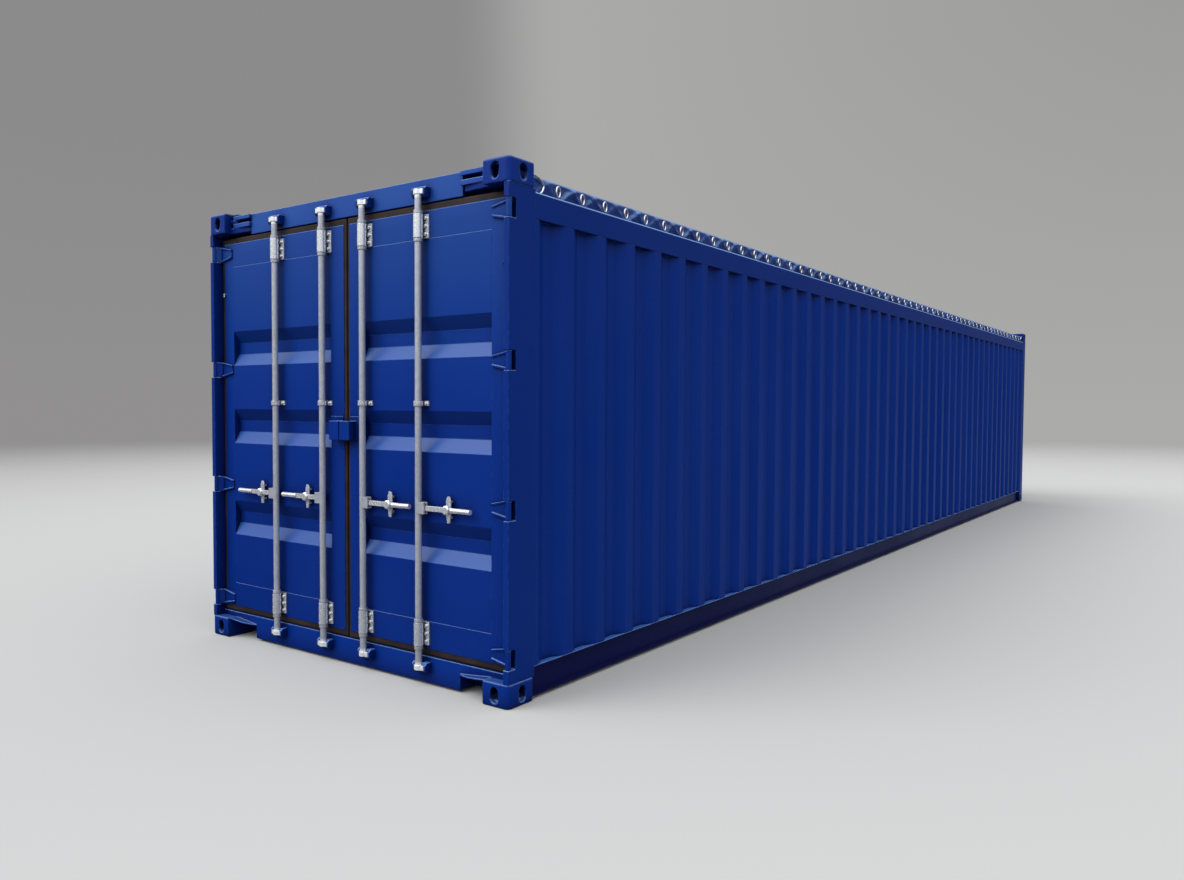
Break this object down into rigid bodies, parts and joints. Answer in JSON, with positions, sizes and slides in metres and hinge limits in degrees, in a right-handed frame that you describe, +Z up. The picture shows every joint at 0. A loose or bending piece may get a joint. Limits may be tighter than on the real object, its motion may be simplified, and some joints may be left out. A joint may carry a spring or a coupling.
{
  "type": "open-top shipping container",
  "caption": "Long steel shipping container with a tarpaulin roof over bows, hinged end doors with lock rods, a swing header and cast corner fittings.",
  "frame": {"origin": "middle of the container's plan, on the level of the castings' bottom faces", "axes": "+X to the right seen from the door end, +Y from the doors towards the closed end, +Z up"},
  "size_m": [2.438, 12.192, 2.591],
  "materials": {
    "blue_paint": "semi-gloss blue paint on steel",
    "galvanised_steel": "dull zinc coating",
    "galvanised_bows": "dull zinc coating",
    "hinge_pin_steel": "painted over with the post",
    "rubber_seal": "dark brown-black rubber",
    "plywood": "varnished plywood",
    "tarpaulin_cloth": "coated polyester sheet",
    "plated_rings": "bright plated steel"
  },
  "bodies": {
    "root": {"bow_sockets": "galvanised_bows", "cross_members": "blue_paint", "door_end_lower_castings": "blue_paint", "door_end_upper_castings": "blue_paint", "door_header": "blue_paint", "door_sill": "blue_paint", "floor_boards": "plywood", "front_bottom_rail": "blue_paint", "front_end_lower_castings": "blue_paint", "front_end_upper_castings": "blue_paint", "front_top_rail": "blue_paint", "front_wall": "blue_paint", "header_cam_keepers": "blue_paint", "header_lugs": "blue_paint", "left_bottom_rail": "blue_paint", "left_door_post": "blue_paint", "left_front_post": "blue_paint", "left_hinge_pins": "hinge_pin_steel", "left_lashing_rings": "plated_rings", "left_top_rail": "blue_paint", "left_wall": "blue_paint", "neck_tunnel": "blue_paint", "right_bottom_rail": "blue_paint", "right_door_post": "blue_paint", "right_front_post": "blue_paint", "right_hinge_pins": "hinge_pin_steel", "right_lashing_rings": "plated_rings", "right_top_rail": "blue_paint", "right_wall": "blue_paint", "roof_bows": "galvanised_bows", "sill_cam_keepers": "blue_paint", "tarpaulin": "tarpaulin_cloth", "tarpaulin_end_loops": "plated_rings"},
    "right_door": {"right_door_frame": "blue_paint", "right_door_gasket": "rubber_seal", "right_door_panel": "blue_paint", "right_handle_cradles": "galvanised_steel", "right_hinge_blades": "blue_paint", "right_lock_box": "blue_paint", "right_rod_guides": "galvanised_steel", "right_tie_back_hook": "galvanised_steel"},
    "right_inner_rod": {"right_inner_lock_rod": "galvanised_steel"},
    "right_inner_lever": {"right_inner_handle": "galvanised_steel"},
    "right_outer_rod": {"right_outer_lock_rod": "galvanised_steel"},
    "right_outer_lever": {"right_outer_handle": "galvanised_steel"},
    "left_door": {"left_door_frame": "blue_paint", "left_door_gasket": "rubber_seal", "left_door_panel": "blue_paint", "left_handle_cradles": "galvanised_steel", "left_hinge_blades": "blue_paint", "left_lock_box": "blue_paint", "left_rod_guides": "galvanised_steel", "left_tie_back_hook": "galvanised_steel"},
    "left_inner_rod": {"left_inner_lock_rod": "galvanised_steel"},
    "left_inner_lever": {"left_inner_handle": "galvanised_steel"},
    "left_outer_rod": {"left_outer_lock_rod": "galvanised_steel"},
    "left_outer_lever": {"left_outer_handle": "galvanised_steel"}
  },
  "joints": [
    {"name": "right_door_hinge", "type": "hinge", "parent": "root", "child": "right_door", "pos_m": [1.199, -6.074, 1.294], "axis": [0, 0, 1], "range_deg": [0, 260]},
    {"name": "right_inner_rod_turn", "type": "hinge", "parent": "right_door", "child": "right_inner_rod", "pos_m": [0.168, -6.072, 1.3], "axis": [0, 0, 1], "range_deg": [-90, 0]},
    {"name": "right_inner_handle_lift", "type": "hinge", "parent": "right_inner_rod", "child": "right_inner_lever", "pos_m": [0.206, -6.072, 0.915], "axis": [0, -1, 0], "range_deg": [0, 25]},
    {"name": "right_outer_rod_turn", "type": "hinge", "parent": "right_door", "child": "right_outer_rod", "pos_m": [0.594, -6.072, 1.3], "axis": [0, 0, 1], "range_deg": [-90, 0]},
    {"name": "right_outer_handle_lift", "type": "hinge", "parent": "right_outer_rod", "child": "right_outer_lever", "pos_m": [0.632, -6.072, 0.915], "axis": [0, -1, 0], "range_deg": [0, 25]},
    {"name": "left_door_hinge", "type": "hinge", "parent": "root", "child": "left_door", "pos_m": [-1.199, -6.074, 1.294], "axis": [0, 0, -1], "range_deg": [0, 260]},
    {"name": "left_inner_rod_turn", "type": "hinge", "parent": "left_door", "child": "left_inner_rod", "pos_m": [-0.168, -6.072, 1.3], "axis": [0, 0, -1], "range_deg": [-90, 0]},
    {"name": "left_inner_handle_lift", "type": "hinge", "parent": "left_inner_rod", "child": "left_inner_lever", "pos_m": [-0.206, -6.072, 0.915], "axis": [0, 1, 0], "range_deg": [0, 25]},
    {"name": "left_outer_rod_turn", "type": "hinge", "parent": "left_door", "child": "left_outer_rod", "pos_m": [-0.594, -6.072, 1.3], "axis": [0, 0, -1], "range_deg": [-90, 0]},
    {"name": "left_outer_handle_lift", "type": "hinge", "parent": "left_outer_rod", "child": "left_outer_lever", "pos_m": [-0.632, -6.072, 0.915], "axis": [0, 1, 0], "range_deg": [0, 25]}
  ]
}
